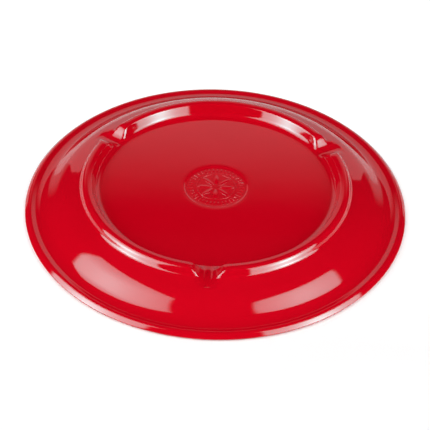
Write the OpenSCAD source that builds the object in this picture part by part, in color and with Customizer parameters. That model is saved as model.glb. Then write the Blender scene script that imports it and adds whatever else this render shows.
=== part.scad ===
// Moulded melamine dinner plate, lying face down with its foot ring up.
// The origin is the centre of the plate on the surface that the rim rests on.

/* [Overall] */
// Diameter over the rim
plate_d = 267; // [240:1:300]
// Height over the foot ring
plate_h = 22.5; // [19:0.25:27]
// Thickness of the well and of the sloping shoulder
wall = 3; // [2:0.1:4]

/* [Rim] */
// Height of the raised bead round the rim
bead_h = 4.25; // [3.6:0.05:5]
// Width of the bead's level top, before its rounding
bead_top_w = 1.75; // [1.7:0.05:3]
// Slope of the bead's inner side, degrees
bead_slope = 18.5; // [12:0.5:26]
// Depth of the gutter between bead and shoulder
gutter_depth = 1; // [0.8:0.05:1.4]
// Radius at the bottom of the gutter
gutter_round = 2.4; // [1:0.1:2.6]
// Radius at the inner edge of the bead's top
bead_in_round = 2.6; // [1:0.1:2.8]
// Radius at the outer edge of the bead's top
bead_out_round = 3; // [1:0.1:3]
// Width of the slope from the bead's top out to the widest circle
edge_w = 2.75; // [2.4:0.05:3.6]
// Height of the widest circle over the surface below
edge_h = 1.5; // [1.2:0.1:2.2]
// Height of the upright edge at the widest circle
edge_flat = 0.6; // [0.6:0.1:1]
// Radius of the corners of the edge
edge_soft = 0.6; // [0.3:0.1:0.6]
// How far the edge curls in underneath
edge_curl = 1.1; // [0.8:0.1:1.4]

/* [Shoulder] */
// Slope of the shoulder at its steepest, degrees
lower_slope = 35.5; // [30:0.5:40]
// Slope where the shoulder runs out into the gutter, degrees
runout_slope = 4; // [2:1:10]
// Distance from the gutter in to the crown, where the steep slope starts
crown_in = 18.4; // [15:0.1:21]
// Largest radius of the crown
crown_r = 37; // [20:1:60]
// Largest radius of the sweep from the steep slope to the run-out
sweep_r = 15; // [8:1:24]
// Distance from the gutter in to the middle of the sweep
sweep_in = 5; // [4:0.2:7]

/* [Foot ring] */
// Diameter over the middle of the ring's flat land
foot_d = 179; // [148:1:184]
// Width of the flat land that the plate stands on
foot_land_w = 1; // [0.8:0.1:2]
// Width of the gently sloping top of the ring, inside the land
foot_top_w = 2.6; // [1.5:0.1:4]
// Slope of that top, degrees
foot_top_slope = 11.5; // [4:0.5:16]
// Height of the ring over the recessed centre
foot_h = 8; // [6.5:0.1:10]
// Height of the ring over the foot of its outer wall
foot_outer_h = 4.55; // [4:0.05:6]
// Slope of the ring's inner wall, degrees
foot_inner_slope = 66.5; // [50:0.5:75]
// Slope of the ring's outer wall, degrees
foot_outer_slope = 64; // [50:1:72]
// Radius between the sloping top and the inner wall
foot_inner_round = 1.2; // [0.5:0.1:2]
// Radius between the land and the outer wall
foot_outer_round = 3.8; // [2:0.1:4.4]
// Radius between the recessed centre and the inner wall
centre_fillet = 4.2; // [2:0.1:5]
// Radius between the outer wall and the shoulder
shoulder_fillet = 3; // [1:0.1:4]

/* [Drain notches] */
// Number of notches across the foot ring
notches = 3; // [2:1:6]
// Width of a notch at its bottom, before its corners are rounded
notch_bottom_w = 7.5; // [3:0.5:9]
// Width of a notch at the top of the ring
notch_top_w = 20.5; // [14:0.5:28]
// How far a notch rises across the ring
notch_rise = 0.2; // [0:0.1:2.4]
// Radius between the bottom of a notch and its sides (largest)
notch_round = 4.6; // [1:0.1:7]

/* [Mark in the centre] */
// Diameter of the shallow round recess
mark_d = 44.8; // [30:0.2:60]
// Depth of the recess
mark_depth = 0.35; // [0.2:0.05:0.6]
// Width of the recess's sloping edge
mark_edge_w = 0.8; // [0.3:0.1:1.5]
// Height of the raised marks
mark_relief = 0.22; // [0.1:0.02:0.3]
// Number of bars in the outer ring of marks
mark_bars = 40; // [12:1:60]
// Number of petals in the rosette
mark_petals = 8; // [4:1:12]

/* [Eating face] */
// Radius between the well and its wall
well_fillet = 10; // [4:1:16]
// Radius between the wall and the rim's face
brim_fillet = 7; // [3:1:12]
// Thickness of the clear glaze over the well
glaze_t = 0.3; // [0.2:0.05:0.6]
// Distance from the edge of the rim in to the edge of the glaze
glaze_in = 17; // [15:0.5:24]

/* [Hidden] */
$fn = 180;
red = [0.78, 0.02, 0.08];
arc_step = 4;                                  // degrees between points of a rounded corner

plate_r = plate_d / 2;
foot_r = foot_d / 2;
centre_z = plate_h - foot_h;                   // recessed centre
well_z = centre_z - wall;                      // underneath it, the eating face
bead_in_r = plate_r - edge_w - bead_top_w;     // inner edge of the bead's top
gutter_r = bead_in_r - gutter_depth / tan(bead_slope);
gutter_z = bead_h - gutter_depth;

// foot ring: the corners of its section, from the centre outwards
land_in_r = foot_r - foot_land_w / 2;
land_out_r = foot_r + foot_land_w / 2 + foot_outer_round * tan(foot_outer_slope / 2);
top_in_r = land_in_r - foot_top_w;
top_in_z = plate_h - foot_top_w * tan(foot_top_slope);
foot_in_r = top_in_r - (top_in_z - centre_z) / tan(foot_inner_slope);
foot_out_r = land_out_r + foot_outer_h / tan(foot_outer_slope);
foot_out_z = plate_h - foot_outer_h;

// shoulder: a gentle slope from the foot ring meets the steep one under the crown
steep_w = crown_in - sweep_in;
sweep_room = sweep_in / cos(runout_slope) - gutter_round * tan((runout_slope + bead_slope) / 2);
sweep_round = min(sweep_r, sweep_room / tan((lower_slope - runout_slope) / 2));
sweep_corner = [gutter_r - sweep_in, gutter_z + sweep_in * tan(runout_slope)];
crown_corner = [gutter_r - crown_in, sweep_corner.y + steep_w * tan(lower_slope)];
gentle_slope = atan2(foot_out_z - crown_corner.y, crown_corner.x - foot_out_r);
crown_room = steep_w / cos(lower_slope) - sweep_round * tan((lower_slope - runout_slope) / 2);
crown_round = min(crown_r, crown_room / tan((lower_slope - gentle_slope) / 2));

// eating face: its wall runs parallel to the steep slope
face_drop = wall / cos(lower_slope);
wall_foot_r = crown_corner.x + (crown_corner.y - face_drop) / tan(lower_slope);
well_edge_r = crown_corner.x + (crown_corner.y - face_drop - well_z) / tan(lower_slope);

function unit(v) = v / norm(v);
function xy(p) = [p.x, p.y];

// The points of an arc of radius r that rounds the corner b between a and c
function corner(a, b, c, r) =
    let (u = unit(a - b), v = unit(c - b), half = acos(u * v) / 2,
         centre = b + unit(u + v) * r / sin(half),
         from = b + u * r / tan(half) - centre, to = b + v * r / tan(half) - centre,
         start = atan2(from.y, from.x), turn = atan2(to.y, to.x) - start,
         sweep = turn > 180 ? turn - 360 : turn < -180 ? turn + 360 : turn,
         steps = max(2, ceil(abs(sweep) / arc_step)))
    [for (i = [0 : steps]) centre + r * [cos(start + sweep * i / steps), sin(start + sweep * i / steps)]];

// An outline from [x, y, radius] corners
function rounded(pts) = [
    for (i = [0 : len(pts) - 1])
        let (n = len(pts), a = xy(pts[(i + n - 1) % n]), b = xy(pts[i]), c = xy(pts[(i + 1) % n]))
            each (pts[i][2] > 0 ? corner(a, b, c, pts[i][2]) : [b])
];

// The side that shows, from the axis out to the edge
back = [
    [0, centre_z, 0],
    [foot_in_r, centre_z, centre_fillet],
    [top_in_r, top_in_z, foot_inner_round],
    [land_in_r, plate_h, 0],
    [land_out_r, plate_h, foot_outer_round],
    [foot_out_r, foot_out_z, shoulder_fillet],
    [crown_corner.x, crown_corner.y, crown_round],
    [sweep_corner.x, sweep_corner.y, sweep_round],
    [gutter_r, gutter_z, gutter_round],
    [bead_in_r, bead_h, bead_in_round],
    [plate_r - edge_w, bead_h, bead_out_round],
    [plate_r, edge_h + edge_flat / 2, edge_soft],
    [plate_r, edge_h - edge_flat / 2, edge_soft]
];

// The eating face, from the edge back in to the axis
face = [
    [plate_r - edge_curl, 0, edge_soft],
    [wall_foot_r, 0, brim_fillet],
    [well_edge_r, well_z, well_fillet],
    [0, well_z, 0]
];

module moulding() {
    rotate_extrude() polygon(rounded(concat(back, face)));
}

// One cutter across the ring, pointing along +X, its rounded bottom rising outwards
module notch_cutter() {
    inner_r = foot_in_r - centre_fillet;
    run = foot_out_r + shoulder_fillet - inner_r;
    bottom_x = notch_bottom_w / 2;
    top_x = bottom_x + (notch_top_w - notch_bottom_w) / 2 * (foot_h + 1) / foot_h;
    wall_angle = atan2(foot_h + 1, top_x - bottom_x);
    trough_r = min(notch_round, 0.97 * bottom_x / tan(wall_angle / 2));
    translate([inner_r, 0, centre_z])
        rotate([0, -atan(notch_rise / run), 0])
            rotate([90, 0, 90])
                linear_extrude(run + 4)
                    polygon(rounded([
                        [-bottom_x, 0, trough_r],
                        [bottom_x, 0, trough_r],
                        [top_x, foot_h + 1, 0],
                        [-top_x, foot_h + 1, 0]
                    ]));
}

module mark_recess() {
    translate([0, 0, centre_z - mark_depth])
        cylinder(h = mark_depth + 0.01, r1 = mark_d / 2 - mark_edge_w, r2 = mark_d / 2);
}

// The clear layer fills a rebate of its own thickness in the eating face
module glaze_layer() {
    corner_r = well_edge_r + glaze_t * tan(lower_slope / 2);
    intersection() {
        rotate_extrude()
            polygon(rounded([
                [0, well_z, 0],
                [well_edge_r, well_z, well_fillet],
                [wall_foot_r, 0, 0],
                [wall_foot_r, glaze_t / cos(lower_slope), 0],
                [corner_r, well_z + glaze_t, well_fillet + glaze_t],
                [0, well_z + glaze_t, 0]
            ]));
        cylinder(h = plate_h, r = plate_r - glaze_in);
    }
}

module plate_body() {
    color(red)
        difference() {
            moulding();
            for (i = [0 : notches - 1]) rotate(i * 360 / notches - 90) notch_cutter();
            mark_recess();
            glaze_layer();
        }
}

module face_glaze() {
    color([0.95, 0.85, 0.85, 0.5]) glaze_layer();
}

// Raised marks on the floor of the recess: a ring of bars, two rings and a rosette
module backstamp() {
    bar_r = mark_d / 2 * 0.8;
    bar_l = mark_d / 2 * 0.16;
    ring_t = 0.7;
    petal_l = mark_d / 2 * 0.46;
    color(red)
        translate([0, 0, centre_z - mark_depth]) {
            for (i = [0 : mark_bars - 1])
                rotate(i * 360 / mark_bars)
                    translate([bar_r, 0, mark_relief / 2]) cube([bar_l, 0.9, mark_relief], center = true);
            difference() {
                cylinder(h = mark_relief, r = mark_d / 2 * 0.62);
                translate([0, 0, -1]) cylinder(h = mark_relief + 2, r = mark_d / 2 * 0.62 - ring_t);
            }
            for (i = [0 : mark_petals - 1]) rotate(i * 360 / mark_petals) petal(petal_l);
            cylinder(h = mark_relief, r = 1.6);
        }
}

module petal(length) {
    round_r = length * 0.7;
    intersection_for (side = [-1, 1])
        translate([length / 2 + 2.6, side * (round_r - 1.5), 0]) cylinder(h = mark_relief, r = round_r);
}

plate_body();
face_glaze();
backstamp();
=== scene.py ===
import math

import bpy
from mathutils import Matrix, Vector


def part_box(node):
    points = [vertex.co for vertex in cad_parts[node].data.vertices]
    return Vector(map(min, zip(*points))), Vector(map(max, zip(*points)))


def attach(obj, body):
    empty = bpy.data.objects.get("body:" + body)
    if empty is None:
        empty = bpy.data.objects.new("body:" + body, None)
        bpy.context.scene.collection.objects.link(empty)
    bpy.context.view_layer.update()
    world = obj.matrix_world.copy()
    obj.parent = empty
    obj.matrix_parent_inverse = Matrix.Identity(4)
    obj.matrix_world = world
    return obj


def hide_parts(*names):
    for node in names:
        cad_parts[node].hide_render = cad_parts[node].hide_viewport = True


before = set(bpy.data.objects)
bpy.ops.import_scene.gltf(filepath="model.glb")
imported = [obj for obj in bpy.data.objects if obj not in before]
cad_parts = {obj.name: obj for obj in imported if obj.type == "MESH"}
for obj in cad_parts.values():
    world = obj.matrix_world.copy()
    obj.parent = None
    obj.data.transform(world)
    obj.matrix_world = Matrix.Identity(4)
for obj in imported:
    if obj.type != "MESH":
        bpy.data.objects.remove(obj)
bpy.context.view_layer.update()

# ---------------------------------------------------------------- Camera
# A long lens looks down at the plate from a little right of the front notch.
# It is turned about its own axis by a degree and a half.
camera_distance = 0.8602
camera_height_angle = math.radians(41.349)
camera_side_angle = math.radians(2.207)
camera_roll = math.radians(1.625)
camera_aim = Vector((0.00045, -0.01384, 0.0))

bpy.ops.object.select_all(action="DESELECT")
bpy.ops.object.camera_add()
camera = bpy.context.object
camera.name = "camera"
camera.data.sensor_width = 36
camera.data.lens = 103.07
camera.data.clip_end = 100
camera_back = Vector((
    math.cos(camera_height_angle) * math.sin(camera_side_angle),
    -math.cos(camera_height_angle) * math.cos(camera_side_angle),
    math.sin(camera_height_angle),
))
level_right = Vector((math.cos(camera_side_angle), math.sin(camera_side_angle), 0))
level_up = camera_back.cross(level_right)
camera_right = level_right * math.cos(camera_roll) + level_up * math.sin(camera_roll)
camera_up = level_up * math.cos(camera_roll) - level_right * math.sin(camera_roll)
camera_pose = Matrix((camera_right, camera_up, camera_back)).transposed().to_4x4()
camera_pose.translation = camera_aim + camera_back * camera_distance
camera.matrix_world = camera_pose
bpy.context.scene.camera = camera

# ---------------------------------------------------------------- Plate body
# One compression moulding in red melamine: recessed centre, foot ring, shoulder, gutter and rim bead.
# Its section is drawn with straight runs and arcs, from the axis out to the edge and back
# underneath, then spun. The eating face is rebated by the thickness of the glaze.
MM = 0.001
plate_low, plate_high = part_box("plate_body")
plate_r = (plate_high.x - plate_low.x) / 2
plate_top = plate_high.z
centre_z = plate_top - 8.0 * MM
wall = 3.0 * MM
well_z = centre_z - wall


def slope(degrees):
    return math.tan(math.radians(degrees))


mark_low, mark_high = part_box("backstamp")
mark_floor_z = mark_low.z
mark_r = 22.4 * MM
mark_edge_w = 0.8 * MM

land_in_r = 89.0 * MM
land_out_r = 90.0 * MM
ring_top_w = 2.6 * MM
ring_top_slope = 11.5
ring_inner_slope = 66.5
ring_outer_slope = 64
ring_outer_round = 3.8 * MM
ring_outer_drop = 4.55 * MM
ring_top_r = land_in_r - ring_top_w
ring_top_z = plate_top - ring_top_w * slope(ring_top_slope)
ring_in_r = ring_top_r - (ring_top_z - centre_z) / slope(ring_inner_slope)
ring_edge_r = land_out_r + ring_outer_round * slope(ring_outer_slope / 2)
ring_out_r = ring_edge_r + ring_outer_drop / slope(ring_outer_slope)
ring_out_z = plate_top - ring_outer_drop
centre_fillet = 4.2 * MM
shoulder_fillet = 3.0 * MM

bead_z = 4.25 * MM
bead_in_r = 129.0 * MM
bead_out_r = 130.75 * MM
bead_slope = 18.5
gutter_z = 3.25 * MM
gutter_r = bead_in_r - (bead_z - gutter_z) / slope(bead_slope)
rim_edge_high = 1.8 * MM
rim_edge_low = 1.2 * MM
rim_curl = 1.1 * MM
shoulder_slope = 35.5
sweep_r = gutter_r - 5.0 * MM
sweep_z = gutter_z + (gutter_r - sweep_r) * slope(4)
crown_r = gutter_r - 18.4 * MM
crown_z = sweep_z + (sweep_r - crown_r) * slope(shoulder_slope)

wall_drop = wall / math.cos(math.radians(shoulder_slope))
brim_r = crown_r + (crown_z - wall_drop) / slope(shoulder_slope)
well_r = crown_r + (crown_z - wall_drop - well_z) / slope(shoulder_slope)
brim_fillet = 7 * MM
well_fillet = 10 * MM
glaze_low, glaze_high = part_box("face_glaze")
glaze_r = (glaze_high.x - glaze_low.x) / 2
glaze_t = glaze_high.z - well_z
glaze_edge_z = (brim_r - glaze_r) * slope(shoulder_slope)
glaze_drop = glaze_t / math.cos(math.radians(shoulder_slope))
bonded_r = well_r + (glaze_drop - glaze_t) / slope(shoulder_slope)

# Each corner: radius from the axis, height, fillet, rows in the fillet, length of a row before it.
long_row = 6 * MM
row = 3 * MM
fine_row = 0.7 * MM
body_section = [
    (0, mark_floor_z, 0, 0, row),
    (mark_r - mark_edge_w, mark_floor_z, 0.5 * MM, 3, row),
    (mark_r, centre_z, 0.5 * MM, 3, row),
    (ring_in_r, centre_z, centre_fillet, 10, row),
    (ring_top_r, ring_top_z, 1.2 * MM, 6, fine_row),
    (land_in_r, plate_top, 1.5 * MM, 2, fine_row),
    (ring_edge_r, plate_top, ring_outer_round, 14, fine_row),
    (ring_out_r, ring_out_z, shoulder_fillet, 7, fine_row),
    (crown_r, crown_z, 37 * MM, 9, fine_row),
    (sweep_r, sweep_z, 15 * MM, 9, row),
    (gutter_r, gutter_z, 2.4 * MM, 6, fine_row),
    (bead_in_r, bead_z, 2.6 * MM, 6, fine_row),
    (bead_out_r, bead_z, 3.0 * MM, 12, fine_row),
    (plate_r, rim_edge_high, 0.6 * MM, 5, fine_row),
    (plate_r, rim_edge_low, 0.6 * MM, 4, row),
    (plate_r - rim_curl, 0, 0.6 * MM, 4, row),
    (brim_r, 0, brim_fillet, 6, row),
    (glaze_r, glaze_edge_z, 0, 0, row),
    (glaze_r, glaze_edge_z + glaze_drop, 0, 0, row),
    (bonded_r, well_z + glaze_t, well_fillet + glaze_t, 6, row),
    (0, well_z + glaze_t, 0, 0, long_row),
]


def start_line(name, place):
    """A plane merged into one point, ready to be extruded along a section."""
    bpy.ops.object.select_all(action="DESELECT")
    bpy.ops.mesh.primitive_plane_add(size=MM)
    piece = bpy.context.object
    piece.name = name
    bpy.ops.object.mode_set(mode="EDIT")
    bpy.ops.mesh.select_mode(type="VERT")
    bpy.ops.mesh.select_all(action="SELECT")
    bpy.ops.mesh.merge(type="CENTER")
    bpy.ops.transform.translate(value=place)
    return piece


def draw_section(name, corners):
    """Extrudes a point from corner to corner in the XZ plane and spins it round each fillet."""
    here = Vector((corners[0][0], 0, corners[0][1]))
    piece = start_line(name, here)
    for i, (r, z, fillet, rows, run) in enumerate(corners[1:], 1):
        corner = Vector((r, 0, z))
        along = (corner - here).normalized()
        reach = 0
        if fillet:
            onward = (Vector((corners[i + 1][0], 0, corners[i + 1][1])) - corner).normalized()
            turn = along.angle(onward)
            reach = fillet * math.tan(turn / 2)
        goal = corner - along * reach
        cuts = max(1, round((goal - here).length / run))
        for _ in range(cuts):
            step = (goal - here) / cuts
            bpy.ops.mesh.extrude_region_move(TRANSFORM_OT_translate={"value": step})
        if fillet:
            centre = corner + (onward - along).normalized() * fillet / math.cos(turn / 2)
            way = -1 if along.cross(onward).y > 0 else 1
            bpy.ops.mesh.spin(steps=rows, angle=way * turn, center=centre, axis=(0, 1, 0))
            goal = corner + onward * reach
        here = goal
    return piece


def spin_round(piece, sectors, closed=False):
    """Spins the section about the plate's axis, sector by sector, and closes seam and poles."""
    bpy.ops.mesh.select_all(action="SELECT")
    if closed:
        bpy.ops.mesh.remove_doubles(threshold=0.002 * MM)
    for steps, degrees in sectors:
        turn = math.radians(degrees)
        bpy.ops.mesh.spin(steps=steps, angle=turn, center=(0, 0, 0), axis=(0, 0, 1))
    bpy.ops.mesh.select_all(action="SELECT")
    bpy.ops.mesh.remove_doubles(threshold=0.002 * MM)
    bpy.ops.mesh.normals_make_consistent(inside=False)
    bpy.ops.object.mode_set(mode="OBJECT")
    bpy.ops.object.shade_smooth()


notches = 3
notch_sector = 20
plain_sector = 360 / notches - notch_sector
body = draw_section("red_moulding", body_section)
bpy.ops.mesh.select_all(action="SELECT")
half_sector = math.radians(90 + notch_sector / 2)
bpy.ops.object.mode_set(mode="OBJECT")
body.rotation_euler.z = -half_sector
bpy.ops.object.transform_apply(location=False, rotation=True, scale=False)
bpy.ops.object.mode_set(mode="EDIT")
spin_round(body, [(72, notch_sector), (66, plain_sector)] * notches)

# ---------------------------------------------------------------- Drain notches
# Three V-shaped channels with level, round-cornered bottoms let water run off in a dishwasher.
# The mould's core forms them: a sheet of that shape is laid across the ring three times,
# the ring is pressed down to it, and the edges are eased as a polished core leaves them.
notch_bottom_w = 7.5 * MM
notch_top_w = 20.5 * MM
notch_corner = 2.2 * MM
notch_ease = 1.2 * MM
notch_in_r = ring_in_r - centre_fillet
notch_out_r = ring_out_r + shoulder_fillet
notch_end_r = notch_out_r + 4 * MM
notch_length = notch_end_r - notch_in_r
notch_rise = 0.2 * MM * notch_length / (notch_out_r - notch_in_r)
notch_spread = (notch_top_w - notch_bottom_w) / 2 / (plate_top - centre_z)


def choose(piece, wanted, mode="VERT"):
    """Selects the points, edges or faces whose place passes the test, and goes into edit mode."""
    bpy.ops.object.mode_set(mode="EDIT")
    bpy.ops.mesh.select_mode(type=mode)
    bpy.ops.mesh.select_all(action="DESELECT")
    bpy.ops.object.mode_set(mode="OBJECT")
    points = piece.data.vertices
    if mode == "VERT":
        for point in points:
            point.select = wanted(point.co)
    elif mode == "EDGE":
        for edge in piece.data.edges:
            edge.select = all(wanted(points[i].co) for i in edge.vertices)
    else:
        for face in piece.data.polygons:
            face.select = wanted(face)
    bpy.ops.object.mode_set(mode="EDIT")


bpy.ops.object.select_all(action="DESELECT")
bpy.ops.mesh.primitive_plane_add(size=1, location=(0, -(notch_in_r + notch_end_r) / 2, centre_z))
former = bpy.context.object
former.name = "notch_former"
former.scale = (notch_bottom_w, notch_length, 1)
bpy.ops.object.transform_apply(location=True, rotation=False, scale=True)
side_rise = plate_top + 3 * MM - centre_z
for side in (-1, 1):
    choose(former, lambda co: co.x * side > notch_bottom_w / 2 - 0.01 * MM, "EDGE")
    reach = (side * side_rise * notch_spread, 0, side_rise)
    bpy.ops.mesh.extrude_region_move(TRANSFORM_OT_translate={"value": reach})
choose(former, lambda co: co.z < centre_z + 0.1 * MM, "EDGE")
bpy.ops.object.mode_set(mode="OBJECT")
for edge in former.data.edges:
    ends = [former.data.vertices[i].co for i in edge.vertices]
    edge.select = abs(ends[0].x - ends[1].x) < 0.01 * MM and all(e.z < centre_z + 0.1 * MM for e in ends)
bpy.ops.object.mode_set(mode="EDIT")
bpy.ops.mesh.bevel(offset=notch_corner, segments=12)
choose(former, lambda co: co.y < -notch_end_r + 0.01 * MM)
bpy.ops.transform.translate(value=(0, 0, notch_rise))
bpy.ops.mesh.select_all(action="SELECT")
for _ in range(notches - 1):
    bpy.ops.mesh.duplicate()
    bpy.ops.transform.rotate(value=math.radians(360 / notches), orient_axis="Z", center_override=(0, 0, 0))
bpy.ops.object.mode_set(mode="OBJECT")


def notch_place(co):
    """Distance along and across the nearest notch."""
    turn = math.atan2(co.x, -co.y)
    third = 2 * math.pi / notches
    turn -= third * round(turn / third)
    r = math.hypot(co.x, co.y)
    return r * math.cos(turn), abs(r * math.sin(turn))


def above_notch(co):
    """Height of a point over the notch's shape, without its corner rounding."""
    along, across = notch_place(co)
    bottom = centre_z + notch_rise * (along - notch_in_r) / notch_length
    return co.z - bottom - max(0, across - notch_bottom_w / 2) / notch_spread


def on_ring(co):
    return notch_in_r - MM < math.hypot(co.x, co.y) < notch_end_r + MM and co.z > centre_z - 0.1 * MM


def near_notch(co):
    return on_ring(co) and above_notch(co) > -notch_ease and notch_place(co)[1] < notch_top_w


bpy.context.view_layer.objects.active = body
choose(body, near_notch)
bpy.ops.object.vertex_group_add()
bpy.ops.object.vertex_group_assign()
bpy.ops.object.mode_set(mode="OBJECT")
press = body.modifiers.new("press", "SHRINKWRAP")
press.target = former
press.wrap_method = "PROJECT"
press.use_project_z = True
press.use_positive_direction = False
press.use_negative_direction = True
press.vertex_group = body.vertex_groups[0].name
bpy.ops.object.modifier_apply(modifier="press")
ease = body.modifiers.new("ease", "SMOOTH")
ease.factor = 0.5
ease.iterations = 5
ease.vertex_group = body.vertex_groups[0].name
bpy.ops.object.modifier_apply(modifier="ease")
body.vertex_groups.clear()
bpy.data.objects.remove(former)

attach(body, "root")
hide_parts("plate_body")


def add_node(material, kind, **values):
    """A node with its sockets set by name. A value that is a socket is linked."""
    node = material.node_tree.nodes.new("ShaderNode" + kind)
    for name, value in values.items():
        numbered = name[0] == "i" and name[1:].isdigit()
        socket = node.inputs[int(name[1:])] if numbered else node.inputs[name.replace("_", " ")]
        if isinstance(value, bpy.types.NodeSocket):
            material.node_tree.links.new(value, socket)
        else:
            socket.default_value = value
    return node


def red_melamine(name, roughness):
    """Pigmented melamine from a polished mould: faint clouding, fine hairlines, slight ripple."""
    material = bpy.data.materials.new(name)
    material.use_nodes = True
    shader = material.node_tree.nodes["Principled BSDF"]
    shader.inputs["IOR"].default_value = 1.6
    place = add_node(material, "TexCoord").outputs["Object"]
    cloud = add_node(material, "TexNoise", Vector=place, Scale=38.0, Detail=3.0).outputs["Fac"]
    lean = (0.50, 0.0004, 0.0075, 1)
    rich = (0.54, 0.0004, 0.0095, 1)
    pigment = add_node(material, "MixRGB", Fac=cloud, Color1=lean, Color2=rich)
    material.node_tree.links.new(pigment.outputs["Color"], shader.inputs["Base Color"])
    haze = add_node(material, "TexNoise", Vector=place, Scale=160.0, Detail=4.0).outputs["Fac"]
    polish = add_node(material, "MapRange", Value=haze)
    polish.inputs["To Min"].default_value = roughness * 0.7
    polish.inputs["To Max"].default_value = roughness * 1.3
    material.node_tree.links.new(polish.outputs["Result"], shader.inputs["Roughness"])
    ripple = add_node(material, "TexNoise", Vector=place, Scale=55.0, Detail=1.0).outputs["Fac"]
    bump = add_node(material, "Bump", Height=ripple, Strength=1.0, Distance=0.00003)
    material.node_tree.links.new(bump.outputs["Normal"], shader.inputs["Normal"])
    return material


body.data.materials.append(red_melamine("red_melamine", 0.05))

# ---------------------------------------------------------------- Face glaze
# The clear glazing layer cured onto the eating face. It is spun as one closed thin shell that
# fills the rebate in the moulding, and the red shows through it.
glaze_section = [
    (0, well_z, 0, 0, row),
    (well_r, well_z, well_fillet, 6, long_row),
    (glaze_r, glaze_edge_z, 0, 0, row),
    (glaze_r, glaze_edge_z + glaze_drop, 0, 0, row),
    (bonded_r, well_z + glaze_t, well_fillet + glaze_t, 6, row),
    (0, well_z + glaze_t, 0, 0, long_row),
]
glaze = draw_section("clear_face_glaze", glaze_section)
spin_round(glaze, [(144, 360)])
bpy.ops.object.shade_smooth_by_angle(angle=math.radians(40))
glaze.data.materials.append(red_melamine("glazed_red", 0.03))
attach(glaze, "root")
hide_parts("face_glaze")

# ---------------------------------------------------------------- Backstamp
# Raised marks in the recess: a ring of bars, a thin ring and a rosette, in the plate's own
# melamine. An engraved insert in the mould forms them, so their tops are soft.
relief = (mark_high.z - mark_low.z) * 0.6
bars = 40
bar_l = mark_r * 0.16
bar_w = 0.9 * MM
bar_r = mark_r * 0.8
petals = 8
petal_l = mark_r * 0.46
petal_half_w = 1.5 * MM
petal_start = 2.6 * MM
mark_ring_r = mark_r * 0.62
mark_ring_w = 0.7 * MM
dot_r = 1.6 * MM


def soften_top(piece, width):
    choose(piece, lambda co: co.z > mark_floor_z + relief * 0.9, "EDGE")
    bpy.ops.mesh.bevel(offset=width, segments=3)


def repeat_round(piece, count):
    bpy.ops.mesh.select_all(action="SELECT")
    turn = 2 * math.pi * (count - 1) / count
    bpy.ops.mesh.spin(steps=count - 1, angle=turn, dupli=True, center=(0, 0, 0), axis=(0, 0, 1))
    bpy.ops.object.mode_set(mode="OBJECT")


mark_mid_z = mark_floor_z + relief / 2
bpy.ops.object.select_all(action="DESELECT")
bpy.ops.mesh.primitive_cube_add(size=1, location=(bar_r, 0, mark_mid_z))
stamp = bpy.context.object
stamp.name = "raised_mark"
stamp.scale = (bar_l, bar_w, relief)
bpy.ops.object.transform_apply(location=True, rotation=False, scale=True)
soften_top(stamp, 0.13 * MM)
repeat_round(stamp, bars)
marks = [stamp]

bpy.ops.object.select_all(action="DESELECT")
petal_mid = petal_start + petal_l / 2
bpy.ops.mesh.primitive_cylinder_add(vertices=20, radius=1, depth=1, location=(petal_mid, 0, mark_mid_z))
petal = bpy.context.object
petal.scale = (petal_l / 2, petal_half_w, relief)
bpy.ops.object.transform_apply(location=True, rotation=False, scale=True)
soften_top(petal, 0.16 * MM)
repeat_round(petal, petals)
marks.append(petal)

bpy.ops.object.select_all(action="DESELECT")
bpy.ops.mesh.primitive_cylinder_add(vertices=32, radius=dot_r, depth=relief, location=(0, 0, mark_mid_z))
dot = bpy.context.object
soften_top(dot, 0.16 * MM)
bpy.ops.object.mode_set(mode="OBJECT")
marks.append(dot)

ring_section = [
    (mark_ring_r - mark_ring_w, mark_floor_z, 0, 0, MM),
    (mark_ring_r - mark_ring_w, mark_floor_z + relief, 0.13 * MM, 3, MM),
    (mark_ring_r, mark_floor_z + relief, 0.13 * MM, 3, MM),
    (mark_ring_r, mark_floor_z, 0, 0, MM),
    (mark_ring_r - mark_ring_w, mark_floor_z, 0, 0, MM),
]
mark_ring = draw_section("mark_ring", ring_section)
spin_round(mark_ring, [(160, 360)], closed=True)
marks.append(mark_ring)

bpy.ops.object.select_all(action="DESELECT")
for part in marks:
    part.select_set(True)
bpy.context.view_layer.objects.active = stamp
bpy.ops.object.join()
bpy.ops.object.mode_set(mode="EDIT")
bpy.ops.mesh.select_all(action="SELECT")
bpy.ops.mesh.normals_make_consistent(inside=False)
bpy.ops.object.mode_set(mode="OBJECT")
bpy.ops.object.shade_smooth_by_angle(angle=math.radians(50))
stamp.data.materials.append(red_melamine("red_melamine_mark", 0.08))
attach(stamp, "root")
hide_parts("backstamp")

# ---------------------------------------------------------------- Table and backdrop
# The plate lies on a wide white table in front of an upright white card with a wider foot.
# The card and its foot glow with painted light, which falls off towards the card's top edge, and on the
# foot within a hand's breadth.


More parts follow.
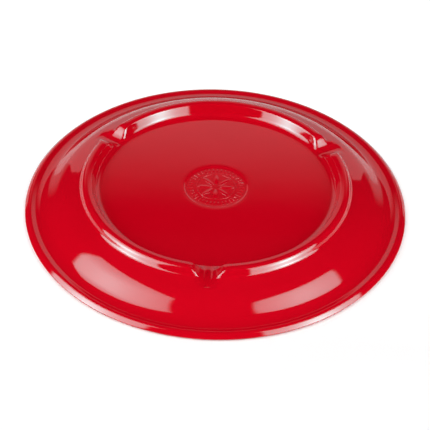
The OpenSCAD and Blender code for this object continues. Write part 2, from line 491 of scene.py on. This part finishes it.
def table_paint():
    """White paint. The camera and mirrored rays see some of its glow beside the light it gets. The glow
    the camera sees is painted light: weaker towards the front edge, as painted shade that deepens the
    plate's contact shadow there, and stronger towards the back.
    """
    material = bpy.data.materials.new("white_table")
    material.use_nodes = True
    material.node_tree.nodes.clear()
    rays = add_node(material, "LightPath").outputs
    mirrored = add_node(material, "Math", i0=rays["Is Glossy Ray"], i1=rays["Is Transmission Ray"])
    mirrored.operation = "MAXIMUM"
    faint = add_node(material, "Math", i0=mirrored.outputs[0], i1=0.13)
    faint.operation = "MULTIPLY"
    place = add_node(material, "TexCoord").outputs["Object"]
    ahead = add_node(material, "SeparateXYZ", Vector=place).outputs["Y"]
    # Painted shade: the camera's glow drops from the back of the table towards the front edge beside the
    # plate.
    glow_with_painted_front_shade = add_node(material, "MapRange", Value=ahead)
    glow_with_painted_front_shade.inputs["From Min"].default_value = -0.13
    glow_with_painted_front_shade.inputs["From Max"].default_value = 0.06
    glow_with_painted_front_shade.inputs["To Min"].default_value = 0.10
    glow_with_painted_front_shade.inputs["To Max"].default_value = 0.32
    seen = glow_with_painted_front_shade.outputs["Result"]
    level = add_node(material, "Math", i0=rays["Is Camera Ray"], i1=seen, i2=faint.outputs[0])
    level.operation = "MULTIPLY_ADD"
    glow = add_node(material, "Emission", Strength=level.outputs[0])
    matt = add_node(material, "BsdfDiffuse", Color=(0.8, 0.8, 0.8, 1))
    both = add_node(material, "AddShader", i0=matt.outputs[0], i1=glow.outputs[0])
    add_node(material, "OutputMaterial", Surface=both.outputs[0])
    return material


def card_painted_glow(bright, fade_low, fade_high):
    material = bpy.data.materials.new("white_card")
    material.use_nodes = True
    tree = material.node_tree
    tree.nodes.clear()
    place = add_node(material, "TexCoord").outputs["Object"]
    height = add_node(material, "SeparateXYZ", Vector=place).outputs["Z"]
    # Painted light: the glow fades from bright to nothing between fade_low and fade_high up the card.
    fade = add_node(material, "MapRange", Value=height)
    fade.interpolation_type = "SMOOTHSTEP"
    fade.inputs["From Min"].default_value = fade_low
    fade.inputs["From Max"].default_value = fade_high
    fade.inputs["To Min"].default_value = bright
    fade.inputs["To Max"].default_value = 0.0
    glow = add_node(material, "Emission", Strength=fade.outputs["Result"])
    add_node(material, "OutputMaterial", Surface=glow.outputs[0])
    return material


bpy.ops.object.select_all(action="DESELECT")
bpy.ops.mesh.primitive_plane_add(size=60)
table = bpy.context.object
table.name = "table"
table.data.materials.append(table_paint())

card_distance = 1.2
card_w = 1.62
card_h = 1.15
card_place = (-0.046, card_distance, card_h / 2)
card_turn = (math.pi / 2, 0, math.radians(2.2))
bpy.ops.mesh.primitive_plane_add(size=1, location=card_place, rotation=card_turn)
card = bpy.context.object
card.name = "backdrop"
card.scale = (card_w, card_h, 1)
bpy.ops.object.transform_apply(location=True, rotation=True, scale=True)
card.data.materials.append(card_painted_glow(0.576, 0.82, 1.10))
card.visible_diffuse = False

foot_w = 2.8
foot_h = 0.3
foot_place = (-0.046, card_distance + 0.02, foot_h / 2)
bpy.ops.mesh.primitive_plane_add(size=1, location=foot_place, rotation=card_turn)
card_foot = bpy.context.object
card_foot.name = "backdrop_foot"
card_foot.scale = (foot_w, foot_h, 1)
bpy.ops.object.transform_apply(location=True, rotation=True, scale=True)
card_foot.data.materials.append(card_painted_glow(0.36, 0.05, foot_h))
card_foot.visible_diffuse = False

# ---------------------------------------------------------------- Softboxes
# Two large softboxes stand front left and front right and lean over the plate. Each is a lamp
# for the light it throws and a cool glowing cloth, brightest before its bulb, for what the
# gloss mirrors. A ceiling panel fills the shadows.


def bulb_spread(material, spot, centre, reach, peak):
    """A round falloff of light on the cloth about its bulb."""
    off = add_node(material, "VectorMath", i0=spot, i1=(centre[0], centre[1], 0))
    off.operation = "SUBTRACT"
    scaled = add_node(material, "VectorMath", i0=off.outputs[0], i1=(reach[0], reach[1], 1))
    scaled.operation = "DIVIDE"
    square = add_node(material, "VectorMath", i0=scaled.outputs[0], i1=scaled.outputs[0])
    square.operation = "DOT_PRODUCT"
    fall = add_node(material, "Math", i0=square.outputs["Value"], i1=-1)
    fall.operation = "MULTIPLY"
    bell = add_node(material, "Math", i0=fall.outputs[0])
    bell.operation = "EXPONENT"
    level = add_node(material, "Math", i0=bell.outputs[0], i1=peak)
    level.operation = "MULTIPLY"
    return level.outputs[0]


def softbox_cloth(name, half_w, half_h, bulb, core, spread):
    material = bpy.data.materials.new(name)
    material.use_nodes = True
    material.cycles.emission_sampling = "NONE"
    material.node_tree.nodes.clear()
    spot = add_node(material, "TexCoord").outputs["Object"]
    lit = add_node(
        material,
        "Math",
        i0=bulb_spread(material, spot, bulb, (0.22, 0.40), core),
        i1=bulb_spread(material, spot, bulb, (1.2, 1.2), spread),
    )
    lit.operation = "ADD"
    sides = add_node(material, "SeparateXYZ", Vector=spot)
    level = lit.outputs[0]
    for axis, half in (("X", half_w), ("Y", half_h)):
        away = add_node(material, "Math", i0=sides.outputs[axis])
        away.operation = "ABSOLUTE"
        edge = add_node(material, "MapRange", Value=away.outputs[0])
        edge.interpolation_type = "SMOOTHSTEP"
        edge.inputs["From Min"].default_value = half - cloth_edge
        edge.inputs["From Max"].default_value = half + cloth_edge
        edge.inputs["To Min"].default_value = 1
        edge.inputs["To Max"].default_value = 0
        kept = add_node(material, "Math", i0=level, i1=edge.outputs["Result"])
        kept.operation = "MULTIPLY"
        level = kept.outputs[0]
    light = add_node(material, "Emission", Color=(0.42, 1, 1, 1), Strength=level)
    add_node(material, "OutputMaterial", Surface=light.outputs[0])
    return material


def softbox(name, azimuth, elevation, roll, width, height, thrown, bulb, core, spread):
    az, el, ro = (math.radians(angle) for angle in (azimuth, elevation, roll))
    away = Vector((math.cos(el) * math.cos(az), math.cos(el) * math.sin(az), math.sin(el)))
    side = Vector((-math.sin(az), math.cos(az), 0))
    rise = away.cross(side)
    right = side * math.cos(ro) + rise * math.sin(ro)
    up = rise * math.cos(ro) - side * math.sin(ro)
    pose = Matrix((right, up, away)).transposed().to_4x4()
    pose.translation = away * softbox_distance
    bpy.ops.object.light_add(type="AREA")
    lamp = bpy.context.object
    lamp.name = name + "_lamp"
    lamp.data.shape = "RECTANGLE"
    lamp.data.size = width
    lamp.data.size_y = height
    lamp.data.energy = thrown * math.pi * width * height
    lamp.matrix_world = pose
    lamp.visible_glossy = False
    bpy.ops.mesh.primitive_plane_add(size=1)
    front = bpy.context.object
    front.name = name + "_front"
    front.scale = (width + 4 * cloth_edge, height + 4 * cloth_edge, 1)
    bpy.ops.object.transform_apply(location=False, rotation=False, scale=True)
    front.matrix_world = pose
    front.data.materials.append(softbox_cloth(name + "_cloth", width / 2, height / 2, bulb, core, spread))
    front.visible_camera = False
    front.visible_diffuse = False
    front.visible_shadow = False


softbox_distance = 1.2
cloth_edge = 0.04
thrown_light = 3.42
softbox("softbox_left", -154.2, 25.26, 8.0, 1.11, 1.86, thrown_light, (-0.03, -0.14), 11.5, 6.6)
softbox("softbox_right", -34.6, 16.29, -13.5, 1.12, 2.06, thrown_light, (0.02, 0.14), 15.0, 6.3)

bpy.ops.object.light_add(type="AREA", location=(0, 0, 2.2))
ceiling = bpy.context.object
ceiling.name = "ceiling_panel"
ceiling.data.size = 3
ceiling.data.energy = 17
ceiling.visible_glossy = False

studio = bpy.data.worlds.new("studio")
bpy.context.scene.world = studio
studio.use_nodes = True
studio.node_tree.nodes["Background"].inputs["Color"].default_value = (1, 1, 1, 1)
studio.node_tree.nodes["Background"].inputs["Strength"].default_value = 0.01
bpy.context.scene.view_settings.view_transform = "Standard"
